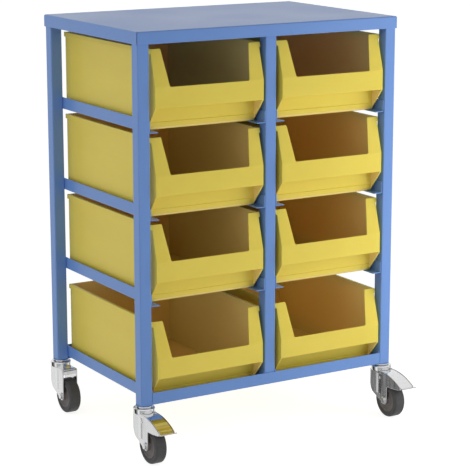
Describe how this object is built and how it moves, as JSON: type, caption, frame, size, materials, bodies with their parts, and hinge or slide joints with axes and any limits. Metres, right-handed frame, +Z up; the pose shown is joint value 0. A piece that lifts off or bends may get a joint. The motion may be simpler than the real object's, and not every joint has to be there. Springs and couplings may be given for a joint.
{
  "type": "mobile bin cart",
  "caption": "Wheeled steel frame with a flat tray top, open-fronted storage bins on angle runners, and swivel castors, the front ones with brake pedals.",
  "frame": {"origin": "on the floor, below the middle of the cart's overall box", "axes": "+Z up, -Y the open front of the bins, +X the right side seen from the front"},
  "size_m": [0.6258, 0.5096, 0.857],
  "materials": {
    "frame_paint": "satin light blue powder coat",
    "bin_plastic": "yellow injection-moulded polypropylene, satin",
    "bright_zinc": "bright zinc-plated pressed steel",
    "hub_plastic": "brown-grey moulded wheel centre",
    "tyre_rubber": "dark grey rubber tread"
  },
  "bodies": {
    "frame": {"top_tray": "frame_paint", "post_front_left": "frame_paint", "post_front_right": "frame_paint", "post_back_left": "frame_paint", "post_back_right": "frame_paint", "post_front_centre": "frame_paint", "post_back_centre": "frame_paint", "rail_bottom_front": "frame_paint", "rail_bottom_back": "frame_paint", "runner_left_outer_1": "frame_paint", "runner_left_inner_1": "frame_paint", "runner_right_inner_1": "frame_paint", "runner_right_outer_1": "frame_paint", "runner_left_outer_2": "frame_paint", "runner_left_inner_2": "frame_paint", "runner_right_inner_2": "frame_paint", "runner_right_outer_2": "frame_paint", "runner_left_outer_3": "frame_paint", "runner_left_inner_3": "frame_paint", "runner_right_inner_3": "frame_paint", "runner_right_outer_3": "frame_paint", "runner_left_outer_4": "frame_paint", "runner_left_inner_4": "frame_paint", "runner_right_inner_4": "frame_paint", "runner_right_outer_4": "frame_paint", "castor_front_left_stem": "bright_zinc", "castor_front_right_stem": "bright_zinc", "castor_back_left_stem": "bright_zinc", "castor_back_right_stem": "bright_zinc"},
    "bin_left_1": {"bin_left_1": "bin_plastic"},
    "bin_left_2": {"bin_left_2": "bin_plastic"},
    "bin_left_3": {"bin_left_3": "bin_plastic"},
    "bin_left_4": {"bin_left_4": "bin_plastic"},
    "bin_right_1": {"bin_right_1": "bin_plastic"},
    "bin_right_2": {"bin_right_2": "bin_plastic"},
    "bin_right_3": {"bin_right_3": "bin_plastic"},
    "bin_right_4": {"bin_right_4": "bin_plastic"},
    "castor_front_left": {"castor_front_left_fork": "bright_zinc", "castor_front_left_axle": "bright_zinc", "castor_front_left_pedal_pin": "bright_zinc"},
    "castor_front_left_wheel": {"castor_front_left_hub": "hub_plastic", "castor_front_left_tyre": "tyre_rubber"},
    "castor_front_left_brake": {"castor_front_left_pedal": "bright_zinc"},
    "castor_front_right": {"castor_front_right_fork": "bright_zinc", "castor_front_right_axle": "bright_zinc", "castor_front_right_pedal_pin": "bright_zinc"},
    "castor_front_right_wheel": {"castor_front_right_hub": "hub_plastic", "castor_front_right_tyre": "tyre_rubber"},
    "castor_front_right_brake": {"castor_front_right_pedal": "bright_zinc"},
    "castor_back_left": {"castor_back_left_fork": "bright_zinc", "castor_back_left_axle": "bright_zinc"},
    "castor_back_left_wheel": {"castor_back_left_hub": "hub_plastic", "castor_back_left_tyre": "tyre_rubber"},
    "castor_back_right": {"castor_back_right_fork": "bright_zinc", "castor_back_right_axle": "bright_zinc"},
    "castor_back_right_wheel": {"castor_back_right_hub": "hub_plastic", "castor_back_right_tyre": "tyre_rubber"}
  },
  "joints": [
    {"name": "bin_left_1_slide", "type": "slide", "parent": "frame", "child": "bin_left_1", "axis": [0, -1, 0], "range_m": [0, 0.4]},
    {"name": "bin_left_2_slide", "type": "slide", "parent": "frame", "child": "bin_left_2", "axis": [0, -1, 0], "range_m": [0, 0.4]},
    {"name": "bin_left_3_slide", "type": "slide", "parent": "frame", "child": "bin_left_3", "axis": [0, -1, 0], "range_m": [0, 0.4]},
    {"name": "bin_left_4_slide", "type": "slide", "parent": "frame", "child": "bin_left_4", "axis": [0, -0.766, 0.6428], "range_m": [0, 0.048]},
    {"name": "bin_right_1_slide", "type": "slide", "parent": "frame", "child": "bin_right_1", "axis": [0, -1, 0], "range_m": [0, 0.4]},
    {"name": "bin_right_2_slide", "type": "slide", "parent": "frame", "child": "bin_right_2", "axis": [0, -1, 0], "range_m": [0, 0.4]},
    {"name": "bin_right_3_slide", "type": "slide", "parent": "frame", "child": "bin_right_3", "axis": [0, -1, 0], "range_m": [0, 0.4]},
    {"name": "bin_right_4_slide", "type": "slide", "parent": "frame", "child": "bin_right_4", "axis": [0, -0.766, 0.6428], "range_m": [0, 0.048]},
    {"name": "castor_front_left_swivel", "type": "hinge", "parent": "frame", "child": "castor_front_left", "pos_m": [-0.2904, -0.15075, 0.111], "axis": [0, 0, 1], "continuous": true},
    {"name": "castor_front_left_roll", "type": "hinge", "parent": "castor_front_left", "child": "castor_front_left_wheel", "pos_m": [-0.2904, -0.18675, 0.0375], "axis": [1, 0, 0], "continuous": true},
    {"name": "castor_front_left_brake_press", "type": "hinge", "parent": "castor_front_left", "child": "castor_front_left_brake", "pos_m": [-0.2904, -0.17275, 0.084], "axis": [1, 0, 0], "range_deg": [0, 9]},
    {"name": "castor_front_right_swivel", "type": "hinge", "parent": "frame", "child": "castor_front_right", "pos_m": [0.2904, -0.15075, 0.111], "axis": [0, 0, 1], "continuous": true},
    {"name": "castor_front_right_roll", "type": "hinge", "parent": "castor_front_right", "child": "castor_front_right_wheel", "pos_m": [0.2904, -0.18675, 0.0375], "axis": [1, 0, 0], "continuous": true},
    {"name": "castor_front_right_brake_press", "type": "hinge", "parent": "castor_front_right", "child": "castor_front_right_brake", "pos_m": [0.2904, -0.17275, 0.084], "axis": [1, 0, 0], "range_deg": [0, 9]},
    {"name": "castor_back_left_swivel", "type": "hinge", "parent": "frame", "child": "castor_back_left", "pos_m": [-0.2904, 0.23225, 0.111], "axis": [0, 0, 1], "continuous": true},
    {"name": "castor_back_left_roll", "type": "hinge", "parent": "castor_back_left", "child": "castor_back_left_wheel", "pos_m": [-0.2904, 0.19625, 0.0375], "axis": [1, 0, 0], "continuous": true},
    {"name": "castor_back_right_swivel", "type": "hinge", "parent": "frame", "child": "castor_back_right", "pos_m": [0.2904, 0.23225, 0.111], "axis": [0, 0, 1], "continuous": true},
    {"name": "castor_back_right_roll", "type": "hinge", "parent": "castor_back_right", "child": "castor_back_right_wheel", "pos_m": [0.2904, 0.19625, 0.0375], "axis": [1, 0, 0], "continuous": true}
  ]
}
